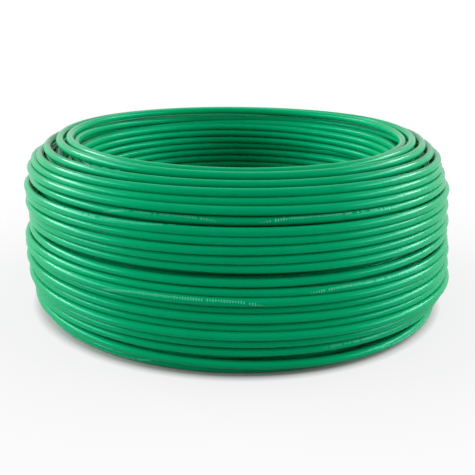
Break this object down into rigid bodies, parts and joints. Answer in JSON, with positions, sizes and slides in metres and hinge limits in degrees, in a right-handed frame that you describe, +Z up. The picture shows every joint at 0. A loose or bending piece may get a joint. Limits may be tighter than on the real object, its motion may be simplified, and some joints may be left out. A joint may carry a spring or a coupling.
{
  "type": "coil of insulated building wire",
  "caption": "Free-standing coil of green PVC-insulated stranded copper wire, machine-wound in level layers around an open eye, for hanging or paying off a mandrel.",
  "frame": {"origin": "centre of the eye, on the surface that the coil stands on", "axes": "+Z up along the axis of the coil, -Y to the front, where the slack places open"},
  "size_m": [0.248, 0.248, 0.0988],
  "materials": {
    "insulation": "smooth extruded PVC, semi-gloss green",
    "strand": "bare soft copper, bright where cut"
  },
  "bodies": {
    "root": {"inner_layers": "insulation", "outer_layer": "insulation", "outer_end_insulation": "insulation", "inner_end_insulation": "insulation", "strand_01": "strand", "strand_02": "strand", "strand_03": "strand", "strand_04": "strand", "strand_05": "strand", "strand_06": "strand", "strand_07": "strand", "strand_08": "strand", "strand_09": "strand", "strand_10": "strand", "strand_11": "strand", "strand_12": "strand", "strand_13": "strand", "strand_14": "strand", "strand_15": "strand", "strand_16": "strand", "strand_17": "strand", "strand_18": "strand", "strand_19": "strand"}
  },
  "joints": []
}
